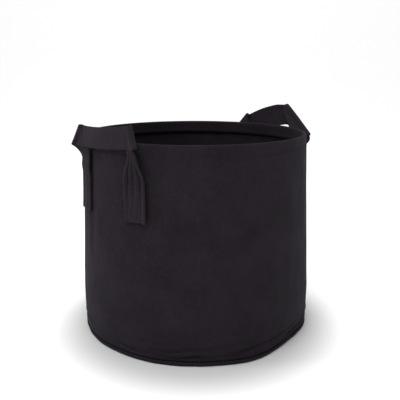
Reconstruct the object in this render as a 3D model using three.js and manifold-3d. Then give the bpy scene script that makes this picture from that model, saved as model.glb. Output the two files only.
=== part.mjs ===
// Fabric grow bag: a round felt planter with two strap handles, standing empty and open.
// Millimetres, +Z up. The origin is at the centre of the base panel's underside.
// The left handle is on the -X side and the right handle on the +X side; the side seam is at +Y.
//
// The bag is sewn from four pieces of needle-punched felt: a wall panel rolled into a tube, a round
// base panel and two straps. Every seam is a lockstitch, so it has a needle thread on one face and a
// bobbin thread on the other. Each strap is sewn flat to the wall at both ends (its tabs), and the
// loop between the tabs is free to swing on the felt above them.
import * as THREE from "three";
import { mergeVertices } from "three/addons/utils/BufferGeometryUtils.js";
import Module from "manifold-3d";

const wasm = await Module();
wasm.setup();

// Driving dimensions
const bagHeight = 300;
const rimRadius = 168; // outer face at the rim
const bellyRadius = 178.5; // outer face at the widest height
const bellyHeight = 60;
const footRadius = 176.8; // outer face just above the base seam
const feltThickness = 2.4;
const strapThickness = 3.6; // felt folded double
const strapWidth = 32;
const threadSize = 0.8;
const gap = 0.3; // between faces that touch on the real bag

// Sewing
const foldRadius = 2.4; // centreline radius where the wall turns in at its foot
const seamAllowance = 10;
const seamStitchDepth = 5; // from the fold to the stitches in the allowance
const hemDepth = 20;
const hemStitchDrop = 16; // below the rim
const hemGap = 0.4;
const sideSeamBottom = 22;
const sideSeamTop = bagHeight - hemDepth - 4;
const slotWidth = 0.4; // between the two ends of the wall panel

// Handles, in degrees round the bag and millimetres
const handleHalfAngle = 17.9; // from a handle's centre to the middle of each tab
const tabBottom = 197;
const tabTop = 251;
const loopBottom = 261; // where the loop starts; it swings about a line between this and the tabs
const stitchRows = 4; // rows of stitching on a tab
const stitchInset = 5; // from a tab's edge to its outer rows
const loopFootOffset = 3.6; // middle of the strap off the wall at the loop's foot
const cornerFoldRadius = 2.8; // where a riser turns into the grip

// Each corner of a handle is a diagonal crease in the strap, given by its lower and upper ends as
// distance round the wall from the handle's centre, height, and offset from the wall. Its riser leans
// straight out to it where flare is 1, and leaves the wall later where flare is more. The riser comes
// over its tab by holdTurn of the way down where that is under 1, and a neck gathers it narrower.
const neckHeight = 284;
const neckReach = 22.5;
const handles = [
  {
    name: "left_handle",
    azimuth: 180,
    gripInside: true, // the grip lies on the bag's side of the risers
    gripBow: 7, // how far the grip's middle bulges outwards from a straight chord
    gripArch: -2, // and how far it rises
    creases: [
      { side: -1, low: [-67, 288, 17.5], high: [-59, 316, 8], flare: 3, holdTurn: 0.5, neck: 0.05 },
      { side: 1, low: [55.3, 293.5, 11], high: [47, 323, 8], flare: 2, holdTurn: 1, neck: 0.55 },
    ],
  },
  {
    name: "right_handle",
    azimuth: -6.5,
    gripInside: false,
    gripBow: 4,
    gripArch: 7,
    creases: [
      { side: -1, low: [-72, 288, 21.5], high: [-28, 332, 7.5], flare: 0.7, holdTurn: 1, neck: 0.2 },
      { side: 1, low: [69, 295, 13], high: [53, 315, 8], flare: 2, holdTurn: 1, neck: 0 },
    ],
  },
];

const roundSegments = 48;
const arcSteps = 4;
const facetDip = rimRadius * (1 - Math.cos(Math.PI / roundSegments)); // of a flat facet inside the round
const steepestMitre = 0.3;
const radians = Math.PI / 180;
const lerp = THREE.MathUtils.lerp;
const smooth = (t) => THREE.MathUtils.smoothstep(t, 0, 1);

const materials = {
  wall_felt: new THREE.MeshStandardMaterial({ color: 0x2b272e, roughness: 0.95, metalness: 0 }),
  strap_felt: new THREE.MeshStandardMaterial({ color: 0x312d33, roughness: 0.92, metalness: 0 }),
  thread: new THREE.MeshStandardMaterial({ color: 0x1b191c, roughness: 0.6, metalness: 0 }),
};

// Outer radius of the wall at a height.
function wallRadius(z) {
  if (z < bellyHeight) return lerp(footRadius, bellyRadius, Math.max(z, 0) / bellyHeight);
  return lerp(bellyRadius, rimRadius, (z - bellyHeight) / (bagHeight - bellyHeight));
}

// Points of an arc from one direction angle to another, both in degrees.
function arc(centre, radius, from, to, steps) {
  const points = [];
  for (let i = 0; i <= steps; i++) {
    const angle = lerp(from, to, i / steps) * radians;
    points.push(new THREE.Vector2(Math.cos(angle), Math.sin(angle)).multiplyScalar(radius).add(centre));
  }
  return points;
}

// The path moved sideways to its left by a distance, with mitred corners.
function offsetPath(path, distance) {
  return path.map((point, i) => {
    const before = path[i].clone().sub(path[Math.max(i - 1, 0)]).normalize();
    const after = path[Math.min(i + 1, path.length - 1)].clone().sub(path[i]).normalize();
    if (i === 0) before.copy(after);
    if (i === path.length - 1) after.copy(before);
    const tangent = before.clone().add(after).normalize();
    const mitre = distance / Math.max(tangent.dot(after), steepestMitre);
    return new THREE.Vector2(-tangent.y, tangent.x).multiplyScalar(mitre).add(point);
  });
}

// A closed section of a sheet of felt whose middle follows the path.
function sheetSection(path, thickness) {
  return [...offsetPath(path, -thickness / 2), ...offsetPath(path, thickness / 2).reverse()];
}

// A section in radius and height, turned about the bag's axis.
function turned(section) {
  return new THREE.LatheGeometry(section, roundSegments).rotateX(Math.PI / 2);
}

// A ring of thread with a square section.
function threadRing(radius, z) {
  const half = threadSize / 2;
  const corners = [[half, -half], [half, half], [-half, half], [-half, -half], [half, -half]];
  return turned(corners.map(([dr, dz]) => new THREE.Vector2(radius + dr, z + dz)));
}

// A thread that follows a list of points.
function threadAlong(points, steps) {
  const half = threadSize / 2;
  const section = new THREE.Shape([
    new THREE.Vector2(-half, -half),
    new THREE.Vector2(half, -half),
    new THREE.Vector2(half, half),
    new THREE.Vector2(-half, half),
  ]);
  const path = new THREE.CatmullRomCurve3(points, false, "catmullrom", 0);
  return new THREE.ExtrudeGeometry(section, { steps, extrudePath: path });
}

// A closed sheet of felt round a grid of points on its middle surface.
function thickened(grid, thickness) {
  const columns = grid.length;
  const rows = grid[0].length;
  const at = (i, j) => grid[THREE.MathUtils.clamp(i, 0, columns - 1)][THREE.MathUtils.clamp(j, 0, rows - 1)];
  const positions = [];
  for (const side of [1, -1]) {
    for (let i = 0; i < columns; i++) {
      for (let j = 0; j < rows; j++) {
        const along = at(i + 1, j).clone().sub(at(i - 1, j));
        const across = at(i, j + 1).clone().sub(at(i, j - 1));
        const normal = along.cross(across).normalize();
        positions.push(...grid[i][j].clone().addScaledVector(normal, (side * thickness) / 2));
      }
    }
  }
  const top = (i, j) => i * rows + j;
  const bottom = (i, j) => columns * rows + top(i, j);
  const index = [];
  const quad = (a, b, c, d) => index.push(a, b, c, a, c, d);
  for (let i = 0; i < columns - 1; i++) {
    for (let j = 0; j < rows - 1; j++) {
      quad(top(i, j), top(i + 1, j), top(i + 1, j + 1), top(i, j + 1));
      quad(bottom(i, j), bottom(i, j + 1), bottom(i + 1, j + 1), bottom(i + 1, j));
    }
    quad(top(i, 0), bottom(i, 0), bottom(i + 1, 0), top(i + 1, 0));
    quad(top(i, rows - 1), top(i + 1, rows - 1), bottom(i + 1, rows - 1), bottom(i, rows - 1));
  }
  for (let j = 0; j < rows - 1; j++) {
    quad(top(0, j), top(0, j + 1), bottom(0, j + 1), bottom(0, j));
    quad(top(columns - 1, j), bottom(columns - 1, j), bottom(columns - 1, j + 1), top(columns - 1, j + 1));
  }
  const geometry = new THREE.BufferGeometry();
  geometry.setAttribute("position", new THREE.Float32BufferAttribute(positions, 3));
  geometry.setIndex(index);
  return geometry;
}

function solidOf(geometry) {
  const bare = geometry.clone();
  bare.deleteAttribute("normal");
  bare.deleteAttribute("uv");
  const merged = mergeVertices(bare, 1e-4);
  const vertProperties = merged.attributes.position.array;
  const triVerts = new Uint32Array(merged.index.array);
  return new wasm.Manifold(new wasm.Mesh({ numProp: 3, vertProperties, triVerts }));
}

function geometryOf(solid) {
  const mesh = solid.getMesh();
  const geometry = new THREE.BufferGeometry();
  geometry.setAttribute("position", new THREE.BufferAttribute(mesh.vertProperties, 3));
  geometry.setIndex(new THREE.BufferAttribute(mesh.triVerts, 1));
  return geometry;
}

// The base seam: the base panel's edge folds back over itself, and the wall's foot turns inwards and
// lies flat on it. The stitches go through both allowances, with room for their thread under them.
const baseFold = (feltThickness + threadSize) / 2 + gap;
const baseFoldCentre = new THREE.Vector2(
  footRadius - feltThickness / 2 - baseFold,
  feltThickness / 2 + baseFold,
);
const baseAllowanceHeight = baseFoldCentre.y + baseFold;
const wallAllowanceHeight = baseAllowanceHeight + feltThickness + gap;
const wallBend = new THREE.Vector2(
  footRadius - feltThickness / 2 - foldRadius,
  wallAllowanceHeight + foldRadius,
);

function wallPanel() {
  const middle = (z) => wallRadius(z) - feltThickness / 2;
  const rimFold = (feltThickness + hemGap) / 2;
  const rimCentre = new THREE.Vector2(middle(bagHeight) - rimFold, bagHeight - feltThickness / 2 - rimFold);
  const hemEnd = bagHeight - hemDepth;
  const path = [
    new THREE.Vector2(wallBend.x - seamAllowance, wallAllowanceHeight),
    ...arc(wallBend, foldRadius, 270, 360, arcSteps),
    new THREE.Vector2(middle(bellyHeight), bellyHeight),
    ...arc(rimCentre, rimFold, 0, 180, arcSteps),
    new THREE.Vector2(middle(hemEnd) - 2 * rimFold, hemEnd),
  ];
  const section = sheetSection(path, feltThickness);
  const tube = solidOf(turned([...section, section[0]]));

  // The panel's two ends turn inwards at the side seam, with the slot between them.
  const inner = (z) => wallRadius(z) - feltThickness;
  const heights = [sideSeamBottom, bellyHeight, sideSeamTop];
  const bite = 0.8; // how far the allowance reaches into the wall that it grows from
  const allowance = new THREE.Shape([
    ...heights.map((z) => new THREE.Vector2(inner(z) + bite, z)),
    ...heights.reverse().map((z) => new THREE.Vector2(inner(z) - seamAllowance, z)),
  ]);
  const doubled = 2 * feltThickness + slotWidth;
  const ends = new THREE.ExtrudeGeometry(allowance, { depth: doubled, bevelEnabled: false });
  // The shape's plane becomes the YZ plane, so that it stands in the seam at +Y.
  const [x, y, z] = [new THREE.Vector3(1, 0, 0), new THREE.Vector3(0, 1, 0), new THREE.Vector3(0, 0, 1)];
  ends.translate(0, 0, -doubled / 2).applyMatrix4(new THREE.Matrix4().makeBasis(y, z, x));
  const slotDepth = 60; // past the allowance inwards and past the wall outwards
  const slot = new THREE.BoxGeometry(slotWidth, slotDepth, 2 * bagHeight);
  slot.translate(0, rimRadius, 0);
  return geometryOf(tube.add(solidOf(ends)).subtract(solidOf(slot)));
}

function basePanel() {
  const path = [
    new THREE.Vector2(0, feltThickness / 2),
    ...arc(baseFoldCentre, baseFold, -90, 90, arcSteps),
    new THREE.Vector2(baseFoldCentre.x - seamAllowance, baseAllowanceHeight),
  ];
  return turned(sheetSection(path, feltThickness));
}

const threadStandOff = feltThickness / 2 + gap + threadSize / 2;

// Where the base seam's thread lies, above or below the two allowances.
function baseSeamThread(allowanceHeight, side) {
  return threadRing(wallBend.x - seamStitchDepth, allowanceHeight + side * threadStandOff);
}

function hemThread(outside) {
  const z = bagHeight - hemStitchDrop;
  const standOff = gap + threadSize / 2;
  const hemThickness = 2 * feltThickness + hemGap;
  const radius = wallRadius(z) + (outside ? standOff : -hemThickness - standOff - facetDip);
  return threadRing(radius, z);
}

function sideSeamThread(side) {
  const x = side * (slotWidth / 2 + feltThickness + gap + threadSize / 2);
  const y = (z) => wallRadius(z) - feltThickness - seamStitchDepth;
  const endInset = 2;
  const heights = [sideSeamBottom + endInset, bellyHeight, sideSeamTop - endInset];
  return threadAlong(heights.map((z) => new THREE.Vector3(x, y(z), z)), 6);
}

// A point by its distance round the wall from an azimuth, its height, and its offset from the wall.
function onWall(azimuth, along, z, offset) {
  const angle = azimuth * radians + along / rimRadius;
  const radius = wallRadius(Math.min(z, bagHeight)) + offset;
  return new THREE.Vector3(radius * Math.cos(angle), radius * Math.sin(angle), z);
}

const tabAlong = handleHalfAngle * radians * rimRadius;
const tabMiddle = gap + strapThickness / 2;

function tab(azimuth) {
  const grid = [];
  const steps = 6;
  for (let i = 0; i <= steps; i++) {
    const along = lerp(-strapWidth / 2, strapWidth / 2, i / steps);
    grid.push([tabBottom, tabTop].map((z) => onWall(azimuth, along, z, tabMiddle)));
  }
  return thickened(grid, strapThickness);
}

// Rows of stitching up and down a tab, joined at their ends into one thread.
function tabThread(azimuth, offset) {
  const reach = strapWidth / 2 - stitchInset;
  const low = tabBottom + stitchInset;
  const high = tabTop - stitchInset;
  const points = [];
  for (let row = 0; row < stitchRows; row++) {
    const along = lerp(-reach, reach, row / (stitchRows - 1));
    const ends = row % 2 ? [high, low] : [low, high];
    points.push(...ends.map((z) => onWall(azimuth, along, z, offset)));
  }
  const stepsPerRow = 6;
  return threadAlong(points, stepsPerRow * stitchRows + 2);
}

// The loop between a handle's two tabs: a riser from each, folded over on the diagonal into the grip.
// Columns run along the strap and rows across it, from the grip's lower edge to its upper one.
function loop({ azimuth, gripInside, gripBow, gripArch, creases }) {
  const rows = [0, 0.25, 0.5, 0.75, 1];
  const gripSteps = 8;
  const foldSteps = 5;
  const riserSteps = 7;
  const layer = gripInside ? cornerFoldRadius : -cornerFoldRadius;
  const centre = azimuth * radians;
  const outwards = new THREE.Vector3(Math.cos(centre), Math.sin(centre), 0);
  const place = ([along, z, offset]) => onWall(azimuth, along, z, offset);
  const onCrease = ({ low, high }, w) => low.map((value, k) => lerp(value, high[k], w));

  // A crease's turn: from the grip's layer, round the fold, to the riser's layer.
  const fold = (crease, w, turn) => {
    const [along, z, offset] = onCrease(crease, w);
    const run = Math.abs(crease.high[0] - crease.low[0]);
    const away = new THREE.Vector2(crease.high[1] - crease.low[1], run).normalize();
    const bulge = cornerFoldRadius * Math.sin(turn);
    const past = along + crease.side * bulge * away.x;
    return place([past, z + bulge * away.y, offset - layer * Math.cos(turn)]);
  };
  const turns = (crease) => {
    const columns = [];
    for (let i = 0; i <= foldSteps; i++) {
      columns.push(rows.map((w) => fold(crease, w, (Math.PI * i) / foldSteps)));
    }
    return columns;
  };
  const riser = (crease) => {
    const columns = [];
    for (let i = 1; i <= riserSteps; i++) {
      const t = i / riserSteps;
      columns.push(
        rows.map((w) => {
          const [from, top, offset] = onCrease(crease, w);
          const z = lerp(top, loopBottom, t);
          const gathered = 1 - crease.neck * Math.exp(-(((z - neckHeight) / neckReach) ** 2));
          const foot = crease.side * (tabAlong + (0.5 - w) * strapWidth * gathered);
          const stand = offset + layer - loopFootOffset;
          const along = lerp(from, foot, smooth(t / crease.holdTurn));
          return place([along, z, loopFootOffset + stand * (1 - t) ** crease.flare]);
        }),
      );
    }
    return columns;
  };
  const [left, right] = creases;
  const grip = [];
  for (let i = 1; i < gripSteps; i++) {
    const t = i / gripSteps;
    const bow = outwards.clone().multiplyScalar(gripBow).setZ(gripArch).multiplyScalar(4 * t * (1 - t));
    grip.push(rows.map((w) => fold(left, w, 0).lerp(fold(right, w, 0), t).add(bow)));
  }
  const before = [...turns(left), ...riser(left)].reverse();
  return thickened([...before, ...grip, ...turns(right), ...riser(right)], strapThickness);
}

const bag = new THREE.Group();
bag.name = "fabric_grow_bag";

function addMesh(name, geometry, material) {
  const mesh = new THREE.Mesh(geometry, materials[material]);
  mesh.name = name;
  bag.add(mesh);
}

addMesh("wall_panel", wallPanel(), "wall_felt");
addMesh("base_panel", basePanel(), "wall_felt");
addMesh("base_seam_needle_thread", baseSeamThread(wallAllowanceHeight, 1), "thread");
addMesh("base_seam_bobbin_thread", baseSeamThread(baseAllowanceHeight, -1), "thread");
addMesh("side_seam_needle_thread", sideSeamThread(1), "thread");
addMesh("side_seam_bobbin_thread", sideSeamThread(-1), "thread");
addMesh("hem_needle_thread", hemThread(true), "thread");
addMesh("hem_bobbin_thread", hemThread(false), "thread");

for (const handle of handles) {
  addMesh(`${handle.name}_loop`, loop(handle), "strap_felt");
  for (const [end, side] of [["rear", -1], ["front", 1]]) {
    // Seen from outside with the side seam at the back, each handle's front tab faces -Y.
    const turn = handle.name === "left_handle" ? side : -side;
    const azimuth = handle.azimuth + turn * handleHalfAngle;
    const outerFace = gap + strapThickness + gap + threadSize / 2;
    const innerFace = -feltThickness - gap - threadSize / 2 - facetDip;
    addMesh(`${handle.name}_${end}_tab`, tab(azimuth), "strap_felt");
    addMesh(`${handle.name}_${end}_needle_thread`, tabThread(azimuth, outerFace), "thread");
    addMesh(`${handle.name}_${end}_bobbin_thread`, tabThread(azimuth, innerFace), "thread");
  }
}

export default bag;
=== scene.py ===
import math

import bmesh
import bpy
import numpy as np
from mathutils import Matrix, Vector, noise


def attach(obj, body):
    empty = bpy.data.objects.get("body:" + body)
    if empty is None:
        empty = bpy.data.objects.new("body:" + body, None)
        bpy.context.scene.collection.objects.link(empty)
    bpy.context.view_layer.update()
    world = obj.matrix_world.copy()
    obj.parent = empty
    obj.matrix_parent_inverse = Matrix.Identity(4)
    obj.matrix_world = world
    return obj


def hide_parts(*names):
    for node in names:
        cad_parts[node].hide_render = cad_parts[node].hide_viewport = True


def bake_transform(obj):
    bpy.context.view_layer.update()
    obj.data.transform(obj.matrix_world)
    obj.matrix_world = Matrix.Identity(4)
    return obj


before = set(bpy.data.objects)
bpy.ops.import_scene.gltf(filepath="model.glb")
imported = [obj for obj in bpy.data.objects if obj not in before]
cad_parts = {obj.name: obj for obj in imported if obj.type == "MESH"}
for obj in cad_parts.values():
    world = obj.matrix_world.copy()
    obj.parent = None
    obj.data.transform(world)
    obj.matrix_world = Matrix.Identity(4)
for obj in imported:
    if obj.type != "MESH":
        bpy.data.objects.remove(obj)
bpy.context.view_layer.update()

# Sizes of the bag, in metres, as in the CAD
HEIGHT = 0.300
RIM_RADIUS = 0.168
BELLY_RADIUS = 0.1785
BELLY_HEIGHT = 0.060
FOOT_RADIUS = 0.1768
FELT = 0.0026
STRAP_FELT = 0.0036
STRAP_WIDTH = 0.032
HEM_DEPTH = 0.020
HEM_STITCH_DROP = 0.016
SEAM_ALLOWANCE = 0.010
FOLD_RADIUS = 0.0024
SIDE_SEAM = math.pi / 2  # its azimuth

# Handles
HALF_ANGLE = math.radians(17.9)
TAB_BOTTOM = 0.197
TAB_TOP = 0.251
TAB_MIDDLE = 0.0021  # middle of the strap off the wall
LOOP_BOTTOM = 0.261
LOOP_FOOT = 0.0036  # middle of the strap off the wall at the loop's foot
CORNER_FOLD = 0.0028
TAB_ALONG = HALF_ANGLE * RIM_RADIUS
STITCH_ROWS = 4
STITCH_INSET = 0.005
# A handle's grip lies on the bag's side of its risers where inside is true. bow is how far its middle stands
# out, arch how far it rises, and lift a place along it and how far its lower edge rises there.
# Each corner is a diagonal crease, from its lower to its upper end: (distance round the wall from the
# handle's centre, height, offset from the wall). The riser leaves the wall later where flare is more,
# comes over its tab by hold of the way down, gathers at its neck (share, height, reach), which may lean
# off the tab, puffs out just under the grip, and twists: its outer and inner edges stand off by so much
# more. curl is how far the tab's outer and inner edges lift past its stitches, and pleats is the height
# of the folds in the strap.
HANDLES = {
    "left_handle": dict(azimuth=180, inside=True, bow=0.007, arch=-0.002, lift=(0.5, 0.0), creases=(
        dict(side=-1, low=(-0.067, 0.288, 0.0175), high=(-0.059, 0.316, 0.008), flare=3, hold=0.42,
             neck=(0.05, 0.275, 0.017), lean=0, puff=0, twist=(0, 0), curl=(0.001, 0.001), pleats=0.0006),
        dict(side=1, low=(0.0553, 0.2935, 0.011), high=(0.047, 0.323, 0.008), flare=1.4, hold=1,
             neck=(0.3, 0.275, 0.017), lean=0.0036, puff=0, twist=(0.004, 0), curl=(0.004, 0.001),
             pleats=0.0028))),
    "right_handle": dict(azimuth=-6.5, inside=False, bow=0.004, arch=0.0060, lift=(0.32, 0.0058), creases=(
        dict(side=-1, low=(-0.072, 0.2870, 0.0222), high=(-0.027, 0.3335, 0.0075), flare=0.6, hold=0.65,
             neck=(0.5, 0.292, 0.024), lean=0.012, puff=0.007, twist=(0, -0.005), curl=(0.001, 0.001),
             pleats=0.0020),
        dict(side=1, low=(0.069, 0.295, 0.013), high=(0.053, 0.3128, 0.008), flare=2, hold=1,
             neck=(0, 0.275, 0.017), lean=0, puff=0, twist=(0, 0), curl=(0.001, 0.001), pleats=0.0008))),
}

# The camera
CAMERA_AZIMUTH = -45.5
CAMERA_DISTANCE = 0.841  # from the bag's axis, level
CAMERA_HEIGHT = 0.392
CAMERA_PITCH = 13.5
LENS = 49
SENSOR = 36
SHIFT = 0.0118


def smooth(t):
    t = min(max(t, 0.0), 1.0)
    return t * t * (3 - 2 * t)


def lerp(a, b, t):
    return a + (b - a) * t


def hump(distance, reach):
    """A rounded hump, 1 where the distance is 0 and fading out beyond the reach."""
    return math.exp(-((distance / reach) ** 2))


def degrees_from(azimuth, middle):
    """How far an azimuth in radians is from one in degrees, in degrees either way."""
    return (math.degrees(azimuth) - middle + 180) % 360 - 180


def wall_radius(z):
    """Outer radius of the wall at a height."""
    if z < BELLY_HEIGHT:
        return lerp(FOOT_RADIUS, BELLY_RADIUS, smooth(0.5 + 0.5 * z / BELLY_HEIGHT) * 2 - 1)
    return lerp(BELLY_RADIUS, RIM_RADIUS, (z - BELLY_HEIGHT) / (HEIGHT - BELLY_HEIGHT))


# ---------------------------------------------------------------- materials


class Nodes:
    """A material's node tree, with a short way to add and link nodes."""

    def __init__(self, name):
        self.material = bpy.data.materials.new(name)
        self.material.use_nodes = True
        self.tree = self.material.node_tree
        self.shader = self.tree.nodes["Principled BSDF"]

    def add(self, kind, inputs=(), **settings):
        node = self.tree.nodes.new(kind)
        for key, value in settings.items():
            setattr(node, key, value)
        for key, value in dict(inputs).items():
            if isinstance(value, bpy.types.NodeSocket):
                self.tree.links.new(value, node.inputs[key])
            else:
                node.inputs[key].default_value = value
        return node

    def link(self, a, b):
        self.tree.links.new(a, b)

    def noise(self, where, scale, detail=3.0, roughness=0.6):
        node = self.add("ShaderNodeTexNoise", {"Vector": where, "Scale": scale, "Detail": detail,
                                               "Roughness": roughness})
        return node.outputs["Fac"]

    def stretched(self, where, scale):
        node = self.add("ShaderNodeMapping", {"Vector": where, "Scale": scale})
        return node.outputs["Vector"]

    def maths(self, operation, a, b=0.0):
        return self.add("ShaderNodeMath", {0: a, 1: b}, operation=operation).outputs[0]

    def mapped(self, value, low, high, to_low=0.0, to_high=1.0):
        node = self.add("ShaderNodeMapRange", {"Value": value, "From Min": low, "From Max": high,
                                               "To Min": to_low, "To Max": to_high})
        return node.outputs["Result"]

    def mix(self, factor, a, b):
        node = self.add("ShaderNodeMix", {"Factor": factor, "A": a, "B": b}, data_type="RGBA")
        return node.outputs["Result"]


# How finely the fibre noise is drawn along X, Y and Z; a fibre runs the way of the smallest number
FIBRE_WAYS = [(3200, 500, 900), (500, 3200, 700), (900, 700, 3200), (2400, 2400, 400)]


def felt_material(name, dark, light, fleck):
    """Needle-punched polyester felt: matted fibres, a few paler ones, soft mottling and a fuzzy nap."""
    n = Nodes(name)
    where = n.add("ShaderNodeTexCoord").outputs["Object"]
    mottle = n.noise(where, 22, 4)
    blotch = n.noise(where, 140, 5, 0.7)
    sway = n.add("ShaderNodeTexNoise", {"Vector": where, "Scale": 180.0}).outputs["Color"]
    bend = n.add("ShaderNodeVectorMath", {0: sway, "Scale": 0.006}, operation="SCALE").outputs["Vector"]
    warped = n.add("ShaderNodeVectorMath", {0: where, 1: bend}, operation="ADD").outputs["Vector"]
    fibres = [n.noise(n.stretched(warped, way), 1, 2, 0.5) for way in FIBRE_WAYS]
    pair, other_pair = n.maths("MAXIMUM", *fibres[:2]), n.maths("MAXIMUM", *fibres[2:])
    mat = n.maths("MAXIMUM", pair, other_pair)
    pale = n.mapped(mat, 0.62, 0.78)
    mixed = n.maths("ADD", n.maths("MULTIPLY", mottle, 0.6), n.maths("MULTIPLY", blotch, 0.4))
    tone = n.mapped(mixed, 0.35, 0.65)
    base = n.mix(tone, (*dark, 1), (*light, 1))
    colour = n.mix(n.maths("MULTIPLY", pale, 0.4), base, (*fleck, 1))
    n.link(colour, n.shader.inputs["Base Color"])
    grain = n.add("ShaderNodeBump", {"Height": mat, "Strength": 0.55, "Distance": 0.0006})
    pills = n.add("ShaderNodeBump", {"Height": blotch, "Strength": 0.5, "Distance": 0.0012,
                                     "Normal": grain.outputs["Normal"]})
    n.link(pills.outputs["Normal"], n.shader.inputs["Normal"])
    n.shader.inputs["Roughness"].default_value = 0.95
    n.shader.inputs["Specular IOR Level"].default_value = 0.06
    n.shader.inputs["Sheen Weight"].default_value = 0.03
    n.shader.inputs["Sheen Roughness"].default_value = 0.5
    n.shader.inputs["Sheen Tint"].default_value = (0.85, 0.86, 1.0, 1)
    return n.material


def thread_material():
    """Twisted polyester sewing thread."""
    n = Nodes("thread")
    where = n.add("ShaderNodeTexCoord").outputs["Object"]
    twist = n.noise(where, 2500, 2)
    colour = n.mix(twist, (0.006, 0.005, 0.006, 1), (0.018, 0.015, 0.018, 1))
    n.link(colour, n.shader.inputs["Base Color"])
    bump = n.add("ShaderNodeBump", {"Height": twist, "Strength": 0.4, "Distance": 0.0003})
    n.link(bump.outputs["Normal"], n.shader.inputs["Normal"])
    n.shader.inputs["Roughness"].default_value = 0.7
    n.shader.inputs["Specular IOR Level"].default_value = 0.2
    return n.material


WALL_DARK, WALL_LIGHT = (0.0125, 0.0092, 0.0130), (0.0200, 0.0155, 0.0208)
WALL_FLECK = (0.062, 0.055, 0.064)
STRAP_DARK, STRAP_LIGHT = (0.0150, 0.0115, 0.0155), (0.0245, 0.0195, 0.0255)
STRAP_FLECK = (0.076, 0.068, 0.078)
WALL_FELT = felt_material("wall_felt", WALL_DARK, WALL_LIGHT, WALL_FLECK)
STRAP = felt_material("strap_felt", STRAP_DARK, STRAP_LIGHT, STRAP_FLECK)
THREAD = thread_material()


# ---------------------------------------------------------------- mesh helpers


def mesh_object(name, points, faces, material):
    """A smooth-shaded object with its faces pointing out."""
    mesh = bpy.data.meshes.new(name)
    mesh.from_pydata([tuple(p) for p in points], [], faces)
    mesh.update()
    bm = bmesh.new()
    bm.from_mesh(mesh)
    bmesh.ops.recalc_face_normals(bm, faces=bm.faces)
    bm.to_mesh(mesh)
    bm.free()
    mesh.polygons.foreach_set("use_smooth", [True] * len(mesh.polygons))
    mesh.materials.append(material)
    obj = bpy.data.objects.new(name, mesh)
    bpy.context.scene.collection.objects.link(obj)
    return obj


def grid_faces(columns, rows, closed_columns=False, closed_rows=False):
    """Faces of a grid whose points are listed column by column."""
    faces = []
    for i in range(columns if closed_columns else columns - 1):
        for j in range(rows if closed_rows else rows - 1):
            a, b = i, (i + 1) % columns
            c, d = j, (j + 1) % rows
            faces.append((a * rows + c, b * rows + c, b * rows + d, a * rows + d))
    return faces


def tube(points, radii, sides, up):
    """Points and faces of a closed round tube along a list of points, with its ends capped."""
    verts = []
    for i, p in enumerate(points):
        way = (points[min(i + 1, len(points) - 1)] - points[max(i - 1, 0)]).normalized()
        side = way.cross(up).normalized()
        top = side.cross(way)
        for k in range(sides):
            a = 2 * math.pi * k / sides
            verts.append(p + (side * math.cos(a) + top * math.sin(a)) * radii[i])
    n = len(points)
    faces = grid_faces(n, sides, closed_rows=True)
    faces += [tuple(range(sides)), tuple((n - 1) * sides + k for k in range(sides))]
    return verts, faces


THREAD_RADIUS = 0.00042
STITCH = 0.0040  # from one needle hole to the next
STITCH_SINK = 0.0008  # how far a stitch's ends go down into the felt
STITCH_STEPS = 6
THREAD_SIDES = 6


def make_stitches(name, runs, node):
    """Single stitches along runs of (points on the felt's face, outward normals)."""
    verts, faces = [], []
    for points, normals in runs:
        lengths = [0.0]
        for a, b in zip(points, points[1:]):
            lengths.append(lengths[-1] + (b - a).length)
        count = max(1, round(lengths[-1] / STITCH))

        def at(distance):
            k = int(np.searchsorted(lengths, distance, side="right")) - 1
            k = min(max(k, 0), len(points) - 2)
            t = (distance - lengths[k]) / (lengths[k + 1] - lengths[k])
            return points[k].lerp(points[k + 1], t), normals[k].lerp(normals[k + 1], t).normalized()

        pitch = lengths[-1] / count
        for i in range(count):
            line, radii = [], []
            for k in range(STITCH_STEPS + 1):
                t = k / STITCH_STEPS
                p, n = at(pitch * (i + 0.07 + 0.86 * t))
                sink = STITCH_SINK * (2 * t - 1) ** 4
                line.append(p + n * (THREAD_RADIUS * 0.35 - sink))
                radii.append(THREAD_RADIUS * (1 - 0.3 * (2 * t - 1) ** 6))
            v, f = tube(line, radii, THREAD_SIDES, at(pitch * (i + 0.5))[1])
            faces += [tuple(q + len(verts) for q in face) for face in f]
            verts += v
    obj = mesh_object(name, verts, faces, THREAD)
    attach(obj, "bag")
    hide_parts(node)


# ---------------------------------------------------------------- wall and base


def soft_noise(x, y, z, scale):
    return noise.noise(Vector((x, y, z)) * scale)


# Soft upright folds in the standing wall: azimuth and half width in degrees, lowest and highest height,
# and how far out or in
RIDGES = [
    (164, 2.2, 0.09, 0.285, 0.0011),
    (169, 2.0, 0.12, 0.28, -0.0007),
    (-128, 4, 0.14, 0.29, 0.0007),
    (-100, 5, 0.06, 0.22, -0.0008),
    (-70, 3.5, 0.16, 0.29, 0.0006),
    (-35, 5, 0.05, 0.25, 0.0009),
    (62, 4, 0.08, 0.26, -0.0008),
    (128, 5, 0.05, 0.24, 0.0008),
]
RIDGE_FADE = 0.05  # the height over which a fold's ends fade out
SLOW_STRAY = 0.0020
QUICK_STRAY = 0.0008


def wall_wobble(azimuth, z):
    """How far the standing felt strays from a true round, outwards."""
    x, y = math.cos(azimuth), math.sin(azimuth)
    up = z / HEIGHT
    big = soft_noise(x * 1.1, y * 1.1, up * 0.9, 1.6) * SLOW_STRAY
    small = soft_noise(x * 3.5, y * 3.5, up * 2.5, 2.0) * QUICK_STRAY
    stray = (big + small) * (1 - 0.6 * smooth((up - 0.6) / 0.3))
    for middle, half, low, high, out in RIDGES:
        fade = smooth((z - low) / RIDGE_FADE) * (1 - smooth((z - high + RIDGE_FADE) / RIDGE_FADE))
        stray += out * hump(degrees_from(azimuth, middle), half) * fade
    return stray


BASE_SPREAD = 0.0006  # how far the base's rolled edge stands proud of the wall's foot
FOOT_TOP = 0.05  # the height where the foot's bulges have faded out
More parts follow.
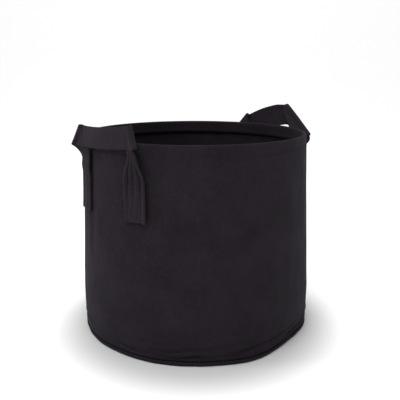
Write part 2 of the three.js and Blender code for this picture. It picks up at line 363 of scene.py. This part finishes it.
# Azimuth and half width in degrees, and how far out
FOOT_BULGES = [
    (-111, 9, 0.0028),
    (-84, 12, -0.0034),
    (-62, 8, 0.0012),
    (-20, 16, 0.0015),
    (40, 18, -0.0012),
]


def foot_stray(azimuth, z):
    """The foot's plan, off a true round: it bulges between where it is pushed in."""
    if z > FOOT_TOP:
        return 0.0
    stray = 0.0
    for middle, half, out in FOOT_BULGES:
        stray += out * hump(degrees_from(azimuth, middle), half)
    return stray * (1 - smooth(z / FOOT_TOP))


# Creases where the standing wall buckles just above the base: azimuth and half width in degrees, height,
# depth in millimetres, and rise over a half width
CREASES_TOP = 0.06
CREASE_HALF_HEIGHT = 0.0024
CREASES = [
    (-137, 9, 0.0135, 3.4, 0.001),
    (-146, 16, 0.021, 1.6, 0.002),
    (-126, 15, 0.027, 1.4, 0.004),
    (-155, 12, 0.031, 1.2, -0.004),
    (-112, 12, 0.019, 2.2, 0.005),
    (-166, 14, 0.016, 2.0, -0.003),
    (-95, 14, 0.024, 1.6, 0.003),
    (-82, 10, 0.016, 2.0, 0.001),
    (-60, 16, 0.020, 1.7, 0.002),
    (-20, 18, 0.022, 1.6, -0.003),
    (35, 20, 0.018, 1.7, 0.003),
    (75, 13, 0.026, 1.4, -0.004),
    (118, 17, 0.020, 1.8, 0.002),
    (160, 15, 0.024, 1.6, 0.004),
]


def crease_depth(azimuth, z):
    """How far the creases draw the wall in; just above each one the felt swells out."""
    depth = 0.0
    if z > CREASES_TOP:
        return depth
    for middle, half, height, deep, slope in CREASES:
        away = degrees_from(azimuth, middle)
        if abs(away) > half * 1.7:
            continue
        line = height + slope * away / half + 0.0012 * math.sin(away * 0.35 + middle)
        across = (z - line) / CREASE_HALF_HEIGHT
        fade = math.exp(-((away / half) ** 2) * 1.4)
        swell = 0.5 * math.exp(-((across - 2.4) ** 2) / 2)
        depth += fade * deep * 0.001 * (math.exp(-across * across) - swell)
    return depth


HEM_PROUD = 0.0002
HEM_DENT = 0.0004
HEM_PUCKERS = 267  # round the bag, about one to a stitch
STITCH_DENT_REACH = 0.0011  # how far to each side of a row of stitches the felt dips


def hem_shape(azimuth, z):
    """Outwards: the doubled hem stands a little proud, and its stitches draw the felt in."""
    if z < HEIGHT - 0.03:
        return 0.0
    proud = HEM_PROUD * smooth((z - (HEIGHT - HEM_DEPTH - 0.002)) / 0.004)
    line = (z - (HEIGHT - HEM_STITCH_DROP)) / STITCH_DENT_REACH
    pucker = 0.75 + 0.25 * math.cos(azimuth * HEM_PUCKERS)
    return proud - HEM_DENT * pucker * math.exp(-line * line)


def wall_point(azimuth, z, inset):
    """A point in the felt, so far in from the wall's outer face."""
    r = wall_radius(z) + wall_wobble(azimuth, z) + foot_stray(azimuth, z)
    r += hem_shape(azimuth, z) - crease_depth(azimuth, z) - inset
    return Vector((r * math.cos(azimuth), r * math.sin(azimuth), z))


BASE_FOLD = 0.0019  # where the base's edge folds back over itself
BASE_LAY = FELT / 2 + 2 * BASE_FOLD  # height of that folded edge
WALL_LAY = BASE_LAY + FELT + 0.0001  # height of the wall's allowance, which lies on it
FOOT = WALL_LAY + FOLD_RADIUS  # where the wall starts to stand
RIM_FOLD = 0.0015
RIM_BEND = HEIGHT - RIM_FOLD - FELT / 2
FINE_ROW = 0.0011  # height of the wall's rows where it creases
FINE_ROWS = 40
HEM_ROWS_FROM = 0.274
SEAM_FROM, SEAM_TO = 0.019, 0.273  # heights between which the side seam's allowance stands in
SEAM_EASE = 0.004
FLAT_SEAM = 0.1  # how much of that allowance is left elsewhere


def wall_path():
    """The panel's section, from the base seam to the hem's edge.

    Each point is its inset, its height and how much of the side seam's allowance stands in there.
    """
    path = []
    for k in (1.0, 0.66, 0.33):
        path.append((FELT / 2 + FOLD_RADIUS + SEAM_ALLOWANCE * k, WALL_LAY, FLAT_SEAM))
    for a in (270, 295, 320, 340):
        turn = math.radians(a)
        inset = FELT / 2 + FOLD_RADIUS * (1 - math.cos(turn))
        path.append((inset, FOOT + FOLD_RADIUS * math.sin(turn), FLAT_SEAM))
    heights = [FOOT + FINE_ROW * k for k in range(FINE_ROWS)]
    heights += [lerp(heights[-1], HEM_ROWS_FROM, (k + 1) / 66) for k in range(66)]
    heights += [lerp(HEM_ROWS_FROM, RIM_BEND, (k + 1) / 24) for k in range(24)]
    for z in heights:
        reach = smooth((z - SEAM_FROM) / SEAM_EASE) * (1 - smooth((z - SEAM_TO) / SEAM_EASE))
        path.append((FELT / 2, z, FLAT_SEAM + (1 - FLAT_SEAM) * reach))
    for a in (30, 60, 90, 120, 150):
        turn = math.radians(a)
        inset = FELT / 2 + RIM_FOLD * (1 - math.cos(turn))
        path.append((inset, RIM_BEND + RIM_FOLD * math.sin(turn), FLAT_SEAM))
    for k in range(10):
        path.append((FELT / 2 + 2 * RIM_FOLD, lerp(RIM_BEND, HEIGHT - HEM_DEPTH, k / 9), FLAT_SEAM))
    return path


SIDE_SEAM_BEND = 0.0017  # radius of the felt's turn into the side seam
SIDE_SEAM_HALF_GAP = 0.0002
WALL_COLUMNS = 324


def seam_columns():
    """One end of the panel at the side seam, as (distance round the wall, inset).

    It runs from the end of the felt to the wall's face.
    """
    start = SIDE_SEAM_HALF_GAP + FELT / 2
    columns = [(start, SIDE_SEAM_BEND + SEAM_ALLOWANCE * k) for k in (1, 0.75, 0.5, 0.25)]
    for a in (0, 30, 60, 90):
        turn = math.radians(a)
        along = start + SIDE_SEAM_BEND * (1 - math.cos(turn))
        columns.append((along, SIDE_SEAM_BEND * (1 - math.sin(turn))))
    return columns


def make_wall():
    """The wall panel, with its hem, its seam allowances and its two ends meeting at the side seam."""
    path = wall_path()
    ends = seam_columns()
    start = ends[-1][0] / RIM_RADIUS
    columns = [(SIDE_SEAM + along / RIM_RADIUS, inset) for along, inset in ends]
    columns += [(SIDE_SEAM + lerp(start, 2 * math.pi - start, k / WALL_COLUMNS), 0.0)
                for k in range(1, WALL_COLUMNS)]
    columns += [(SIDE_SEAM - along / RIM_RADIUS, inset) for along, inset in reversed(ends)]
    points = []
    for azimuth, inset in columns:
        for depth, z, reach in path:
            points.append(wall_point(azimuth, z, depth + inset * reach))
    obj = mesh_object("wall_panel_felt", points, grid_faces(len(columns), len(path)), WALL_FELT)
    solid = obj.modifiers.new("thickness", "SOLIDIFY")
    solid.thickness = FELT
    solid.offset = 0
    solid.use_quality_normals = True
    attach(obj, "bag")
    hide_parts("wall_panel")
    return obj


BASE_COLUMNS = 240
BASE_SWELL = 0.0012  # how far the empty base's felt lifts off the floor in places
BASE_PRESSED = 0.92  # its thickness, as a share of the wall's


def make_base():
    """The round base panel, with its edge turned up inside the wall's allowance."""
    lift = FELT / 2
    edge = FOOT_RADIUS + BASE_SPREAD - FELT / 2 - BASE_FOLD
    rows = [(r, lift) for r in (0.004, 0.02, 0.04, 0.06, 0.08, 0.1, 0.12, 0.138, 0.15, 0.16, 0.168)]
    for a in (-90, -60, -30, 0, 30, 60, 90):
        turn = math.radians(a)
        rows.append((edge + BASE_FOLD * math.cos(turn), lift + BASE_FOLD * (1 + math.sin(turn))))
    rows += [(edge - SEAM_ALLOWANCE * k, BASE_LAY) for k in (0.35, 0.7, 1.0)]
    points = [Vector((0, 0, lift))]
    for i in range(BASE_COLUMNS):
        a = 2 * math.pi * i / BASE_COLUMNS
        for r, z in rows:
            stray = foot_stray(a, z) + wall_wobble(a, FOOT)
            out = radial(a) * (r + stray * smooth((r - 0.1) / 0.06))
            fade = smooth(r / 0.05)
            swell = BASE_SWELL * max(0, soft_noise(out.x, out.y, 0.3, 22)) * fade if z <= lift else 0
            points.append(out + Vector((0, 0, z + swell * (1 - smooth((r - 0.12) / 0.04)))))
    n = len(rows)
    faces = [tuple(1 + v for v in f) for f in grid_faces(BASE_COLUMNS, n, closed_columns=True)]
    faces += [(0, 1 + i * n, 1 + ((i + 1) % BASE_COLUMNS) * n) for i in range(BASE_COLUMNS)]
    obj = mesh_object("base_panel_felt", points, faces, WALL_FELT)
    solid = obj.modifiers.new("thickness", "SOLIDIFY")
    solid.thickness = FELT * BASE_PRESSED
    solid.offset = 0
    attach(obj, "bag")
    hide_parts("base_panel")
    return obj


RING_STEPS = 360


def ring_run(place):
    """A closed run of (points, normals) from a function of the azimuth."""
    placed = [place(2 * math.pi * k / RING_STEPS) for k in range(RING_STEPS + 1)]
    return [p for p, _ in placed], [n for _, n in placed]


def radial(azimuth):
    return Vector((math.cos(azimuth), math.sin(azimuth), 0)).normalized()


def make_hem_stitches():
    z = HEIGHT - HEM_STITCH_DROP
    inner = FELT * 2 + 0.0004
    outside = ring_run(lambda a: (wall_point(a, z, 0), radial(a)))
    inside = ring_run(lambda a: (wall_point(a, z, inner), -radial(a)))
    make_stitches("hem_needle_stitches", [outside], "hem_needle_thread")
    make_stitches("hem_bobbin_stitches", [inside], "hem_bobbin_thread")


def make_base_stitches():
    row = FELT / 2 + FOLD_RADIUS + SEAM_ALLOWANCE / 2  # the base seam's stitches, in from the wall's face

    def on_wall_allowance(a):
        p = wall_point(a, WALL_LAY, row)
        return Vector((p.x, p.y, WALL_LAY + FELT / 2)), Vector((0, 0, 1))

    def under_base_allowance(a):
        p = wall_point(a, WALL_LAY, row)
        return Vector((p.x, p.y, BASE_LAY - FELT / 2)), Vector((0, 0, -1))

    make_stitches("base_seam_needle_stitches", [ring_run(on_wall_allowance)], "base_seam_needle_thread")
    make_stitches("base_seam_bobbin_stitches", [ring_run(under_base_allowance)], "base_seam_bobbin_thread")


def make_side_stitches():
    """The side seam's stitches, on both faces of the allowance that stands in from the wall."""
    for side, kind in ((1, "needle"), (-1, "bobbin")):
        away = side * (SIDE_SEAM_HALF_GAP + FELT)
        points = []
        for k in range(60):
            z = lerp(0.026, 0.270, k / 59)
            r = wall_radius(z) - FELT - SEAM_ALLOWANCE / 2
            points.append(Vector((away, r, z)))
        normals = [Vector((side, 0, 0))] * len(points)
        make_stitches(f"side_seam_{kind}_stitches", [(points, normals)], f"side_seam_{kind}_thread")


# ---------------------------------------------------------------- handles


def on_wall(azimuth, along, z, offset):
    """A point by its distance round the wall from an azimuth, its height and its offset from the wall."""
    angle = math.radians(azimuth) + along / RIM_RADIUS
    follow = 1 - smooth((z - TAB_TOP) / 0.03)
    r = wall_radius(min(z, HEIGHT)) + wall_wobble(angle, z) * follow + offset
    return Vector((r * math.cos(angle), r * math.sin(angle), z))


BEND_TOP = 0.268  # the height where a riser starts to lean off its tab
PLEATS = 3.6  # across a strap
PUFF_HEIGHT, PUFF_REACH = 0.277, 0.012
LIFT_REACH = 0.11  # as a share of the grip's length
TAB_DENT = 0.0005
TAB_EDGE = 0.2  # the share of the strap's width that curls at each edge


class Strap:
    """One handle's strap: a tab, a riser, a corner, the grip, a corner, a riser and a tab.

    A place on it is w, from 0 at its outer and lower edge to 1 at its inner and upper edge, and t along it.
    """

    def __init__(self, azimuth, inside, bow, arch, lift, creases):
        self.azimuth, self.creases = azimuth, creases
        self.bow, self.arch, self.lift = bow, arch, lift
        self.layer = CORNER_FOLD if inside else -CORNER_FOLD
        self.outwards = radial(math.radians(azimuth))

    def place(self, along, z, offset):
        return on_wall(self.azimuth, along, z, offset)

    def on_crease(self, crease, w):
        """Distance round the wall, height and offset of a place on a crease."""
        return [lerp(a, b, w) for a, b in zip(crease["low"], crease["high"])]

    def fold(self, crease, w, turn):
        """The strap turning over a crease, from the grip's layer at 0 to the riser's at pi."""
        along, z, offset = self.on_crease(crease, w)
        run = abs(crease["high"][0] - crease["low"][0])
        away = Vector((crease["high"][1] - crease["low"][1], run)).normalized()
        bulge = CORNER_FOLD * math.sin(turn)
        return self.place(along + crease["side"] * bulge * away.x, z + bulge * away.y,
                          offset - self.layer * math.cos(turn))

    def gather(self, crease, w, z):
        """Where across the strap a thread of felt lies, and how far its pleats lift it, at a height."""
        share, height, reach = crease["neck"]
        narrow = share * hump(z - height, reach)
        across = (0.5 - w) * (1 - narrow) * STRAP_WIDTH + crease["lean"] * smooth((z - BEND_TOP) / 0.018)
        fall = smooth((z - TAB_BOTTOM - 0.01) / 0.05) * (1 - smooth((z - 0.274) / 0.03))
        drift = 0.25 * (z - TAB_BOTTOM) / 0.06 * math.sin(5 * w + 1)
        pleat = 0.5 - 0.5 * math.cos(2 * math.pi * (PLEATS * (w + 0.1 * drift) + 0.15))
        return across, crease["pleats"] * fall * pleat

    def curl(self, crease, w):
        outer, inner = crease["curl"]
        return outer * smooth((TAB_EDGE - w) / TAB_EDGE) + inner * smooth((w + TAB_EDGE - 1) / TAB_EDGE)

    def foot(self, crease, w, z):
        """Distance round the wall and offset of the strap near its tab, at a height."""
        across, lift = self.gather(crease, w, z)
        rise = smooth((z - TAB_TOP + 0.004) / (LOOP_BOTTOM - TAB_TOP + 0.004))
        return crease["side"] * (TAB_ALONG + across), lerp(TAB_MIDDLE, LOOP_FOOT, rise) + lift

    def tab(self, crease, w, t):
        """The tab, dipping at its rows of stitches, and the bend above it."""
        z = lerp(TAB_BOTTOM, LOOP_BOTTOM, t)
        along, offset = self.foot(crease, w, z)
        if z < TAB_TOP:
            place = w * STRAP_WIDTH
            pitch = (STRAP_WIDTH - 2 * STITCH_INSET) / (STITCH_ROWS - 1)
            for row in range(STITCH_ROWS):
                away = place - STITCH_INSET - row * pitch
                offset -= TAB_DENT * hump(away, STITCH_DENT_REACH) * smooth((z - TAB_BOTTOM - 0.002) / 0.003)
        return self.place(along, z, offset + self.curl(crease, w))

    def riser(self, crease, w, t):
        """The strap between its crease, where t is 0, and its foot."""
        top_along, top, top_offset = self.on_crease(crease, w)
        z = lerp(top, LOOP_BOTTOM, t)
        along, foot_offset = self.foot(crease, w, z)
        along = lerp(top_along, along, smooth(t / crease["hold"]))
        stand = top_offset + self.layer - LOOP_FOOT
        puff = crease["puff"] * hump(z - PUFF_HEIGHT, PUFF_REACH) * (1 - 0.6 * w) * smooth(12 * t)
        puff += lerp(*crease["twist"], w) * math.sin(math.pi * t)
        puff += self.curl(crease, w) * smooth(3 * t - 2)
        return self.place(along, z, foot_offset + stand * (1 - t) ** crease["flare"] + puff)

    def grip(self, w, t):
        """The strap between its two creases."""
        left, right = self.creases
        bulge = 4 * t * (1 - t)
        where, height = self.lift
        lift = height * hump(t - where, LIFT_REACH) * (1 - 0.9 * w) * smooth(t / 0.12)
        p = self.fold(left, w, 0).lerp(self.fold(right, w, 0), t)
        wave = 0.0006 * bulge * soft_noise(p.x, p.y, p.z, 55)
        return p + self.outwards * (self.bow * bulge + wave) + Vector((0, 0, self.arch * bulge + lift))

    def half(self, crease, across):
        """Columns of points from the grip's end of a crease to the tab's end."""
        columns = []
        for k in range(7):
            columns.append([self.fold(crease, w, math.pi * k / 6) for w in across])
        for k in range(1, 31):
            columns.append([self.riser(crease, w, k / 30) for w in across])
        for k in range(1, 41):
            columns.append([self.tab(crease, w, 1 - k / 40) for w in across])
        return columns

    def columns(self, across):
        left, right = self.creases
        middle = [[self.grip(w, k / 36) for w in across] for k in range(1, 36)]
        return list(reversed(self.half(left, across))) + middle + self.half(right, across)


def thick_ribbon(name, columns, thickness, round_edge, material):
    """A closed strap round a grid of middle points, with rounded long edges."""
    n, m = len(columns), len(columns[0])
    grid = np.array([[list(p) for p in column] for column in columns])
    along = np.gradient(grid, axis=0)
    across = np.gradient(grid, axis=1)
    normal = np.cross(along, across)
    normal /= np.maximum(np.linalg.norm(normal, axis=2, keepdims=True), 1e-12)
    share = np.linspace(0, 1, m)
    edge = np.minimum(share, 1 - share) / round_edge
    half = thickness / 2 * np.sqrt(np.clip(1 - np.clip(1 - edge, 0, 1) ** 2, 0.12, 1))
    top = grid + normal * half[None, :, None]
    bottom = (grid - normal * half[None, :, None])[:, ::-1]
    loops = np.concatenate([top, bottom], axis=1)
    faces = grid_faces(n, 2 * m, closed_rows=True)
    for column in (0, n - 1):
        for j in range(m - 1):
            a = column * 2 * m
            faces.append((a + j, a + j + 1, a + 2 * m - 2 - j, a + 2 * m - 1 - j))
    return mesh_object(name, loops.reshape(-1, 3), faces, material)


STRAP_ROUNDING = 0.05  # the share of the strap's width that is rounded off at each edge


def make_handle(name, facts):
    """One strap, shaped from tab to tab round its loop, with the stitches of its tabs."""
    strap = Strap(**facts)
    edge = [0, 0.015, 0.045, 0.09]
    across = edge + [lerp(0.13, 0.87, k / 20) for k in range(21)] + [1 - e for e in reversed(edge)]
    obj = thick_ribbon(f"{name}_strap", strap.columns(across), STRAP_FELT, STRAP_ROUNDING, STRAP)
    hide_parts(f"{name}_loop", f"{name}_front_tab", f"{name}_rear_tab")
    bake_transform(obj)
    middle = strap.columns([0.5])
    length = sum((b[0] - a[0]).length for a, b in zip(middle, middle[1:]))
    make_tab_stitches(name, strap)


def make_tab_stitches(name, strap):
    """Rows of stitches up each tab and one across its top and its bottom."""
    pitch = (STRAP_WIDTH - 2 * STITCH_INSET) / (STITCH_ROWS - 1)
    for crease in strap.creases:
        # Front is the -Y side, which the azimuth grows towards on the left handle only.
        front = (crease["side"] > 0) == (name == "left_handle")
        tab = f"{name}_{'front' if front else 'rear'}"
        low, high = TAB_BOTTOM + STITCH_INSET, TAB_TOP - STITCH_INSET
        ways = []
        for row in range(STITCH_ROWS):
            ways.append([(STITCH_INSET + row * pitch, z) for z in np.linspace(low, high, 24)])
        for z in (low, high):
            ways.append([(lerp(STITCH_INSET, STRAP_WIDTH - STITCH_INSET, k / 12), z) for k in range(13)])
        for kind in ("needle", "bobbin"):
            runs = []
            for way in ways:
                points, normals = [], []
                for place, z in way:
                    t = (z - TAB_BOTTOM) / (LOOP_BOTTOM - TAB_BOTTOM)
                    p = strap.tab(crease, place / STRAP_WIDTH, t)
                    out = Vector((p.x, p.y, 0)).normalized()
                    if kind == "needle":
                        points.append(p + out * (STRAP_FELT / 2 - 0.0001))
                    else:
                        azimuth = math.atan2(p.y, p.x)
                        points.append(wall_point(azimuth, z, FELT))
                    normals.append(out if kind == "needle" else -out)
                runs.append((points, normals))
            make_stitches(f"{tab}_{kind}_stitches", runs, f"{tab}_{kind}_thread")


# ---------------------------------------------------------------- the room


FLOOR_REACH = 6.0
BACK_START, BACK_RADIUS, BACK_TOP = 2.0, 1.6, 4.0  # where the paper starts to curve up behind, and how
SHADOW_PATCH_FORWARD = 0.03  # how far in front of the bag's axis the patch of paper that doesn't glow, a painted shadow round the foot, is centred
SHADOW_PATCH_EDGE, GLOW_EDGE = 0.155, 0.255  # how far from there the painted glow starts and is at its full strength
# full strength of the paper's painted glow
GLOW = 0.6


def make_stage():
    """White paper that curves up behind the bag, with painted light: it glows outside a soft patch around
    its foot, and that patch is a painted shadow.
    """
    mesh = bpy.data.meshes.new("floor")
    rows = [(-FLOOR_REACH, 0.0)] + [(t * 0.1, 0.0) for t in range(-30, 21)]
    for a in range(6, 91, 6):
        turn = math.radians(a)
        rows.append((BACK_START + BACK_RADIUS * math.sin(turn), BACK_RADIUS - BACK_RADIUS * math.cos(turn)))
    rows.append((BACK_START + BACK_RADIUS, BACK_TOP))
    turn = math.radians(CAMERA_AZIMUTH)
    across, along = Vector((math.cos(turn), math.sin(turn), 0)), Vector((-math.sin(turn), math.cos(turn), 0))
    points = []
    for s in (-FLOOR_REACH, FLOOR_REACH):
        for y, z in rows:
            points.append(across * s + along * y + Vector((0, 0, z - 0.0002)))
    mesh.from_pydata([tuple(p) for p in points], [], grid_faces(2, len(rows)))
    mesh.polygons.foreach_set("use_smooth", [True] * len(mesh.polygons))
    floor = bpy.data.objects.new("floor", mesh)
    bpy.context.scene.collection.objects.link(floor)
    paint = Nodes("white_paper_with_painted_glow")
    paint.shader.inputs["Base Color"].default_value = (0.61, 0.61, 0.61, 1)
    paint.shader.inputs["Roughness"].default_value = 0.9
    paint.shader.inputs["Specular IOR Level"].default_value = 0.1
    where = paint.add("ShaderNodeTexCoord").outputs["Object"]
    centre = tuple(along * -SHADOW_PATCH_FORWARD)
    moved = paint.add("ShaderNodeVectorMath", {0: where, 1: centre}, operation="SUBTRACT").outputs["Vector"]
    away = paint.add("ShaderNodeVectorMath", {0: moved}, operation="LENGTH").outputs["Value"]
    # painted light: the paper glows more the farther it is from the patch, so the patch round the bag's foot
    # is a painted shadow
    glow = paint.add("ShaderNodeMapRange", {"Value": away, "From Min": SHADOW_PATCH_EDGE, "From Max": GLOW_EDGE,
                                            "To Min": 0.0, "To Max": GLOW}, interpolation_type="SMOOTHSTEP")
    paint.shader.inputs["Emission Color"].default_value = (1, 1, 1, 1)
    paint.link(glow.outputs["Result"], paint.shader.inputs["Emission Strength"])
    mesh.materials.append(paint.material)


# Name, azimuth from the camera's, elevation, distance, size and power
LIGHTS = [
    ("top", 0, 80, 2.3, 2.8, 25),
    ("front_top", -20, 64, 2.3, 1.2, 23),
    ("key", -80, 34, 2.2, 0.35, 8),
]
SKY = 0.31


def area_light(name, azimuth, elevation, distance, size, power):
    """A square light that faces the bag's middle."""
    light = bpy.data.lights.new(name, "AREA")
    light.size = size
    light.energy = power
    obj = bpy.data.objects.new(name, light)
    a, e = math.radians(azimuth + CAMERA_AZIMUTH), math.radians(elevation)
    way = Vector((math.sin(a) * math.cos(e), -math.cos(a) * math.cos(e), math.sin(e)))
    obj.location = way * distance + Vector((0, 0, 0.15))
    obj.rotation_euler = way.to_track_quat("Z", "Y").to_euler()
    bpy.context.scene.collection.objects.link(obj)


def make_lights():
    for light in LIGHTS:
        area_light(*light)
    world = bpy.data.worlds.new("studio")
    world.use_nodes = True
    world.node_tree.nodes["Background"].inputs["Color"].default_value = (1, 1, 1, 1)
    world.node_tree.nodes["Background"].inputs["Strength"].default_value = SKY
    bpy.context.scene.world = world


def make_camera():
    camera = bpy.data.objects.new("camera", bpy.data.cameras.new("camera"))
    a, p = math.radians(CAMERA_AZIMUTH), math.radians(CAMERA_PITCH)
    camera.location = (CAMERA_DISTANCE * math.sin(a), -CAMERA_DISTANCE * math.cos(a), CAMERA_HEIGHT)
    camera.rotation_euler = (math.pi / 2 - p, 0, a)
    camera.data.lens = LENS
    camera.data.sensor_width = SENSOR
    camera.data.shift_x = SHIFT
    camera.data.clip_start = 0.01
    bpy.context.scene.collection.objects.link(camera)
    bpy.context.scene.camera = camera


make_camera()
make_stage()
make_lights()
wall = make_wall()
base = make_base()
make_hem_stitches()
make_base_stitches()
make_side_stitches()
for handle, facts in HANDLES.items():
    make_handle(handle, facts)
bpy.context.scene.view_settings.view_transform = "Standard"
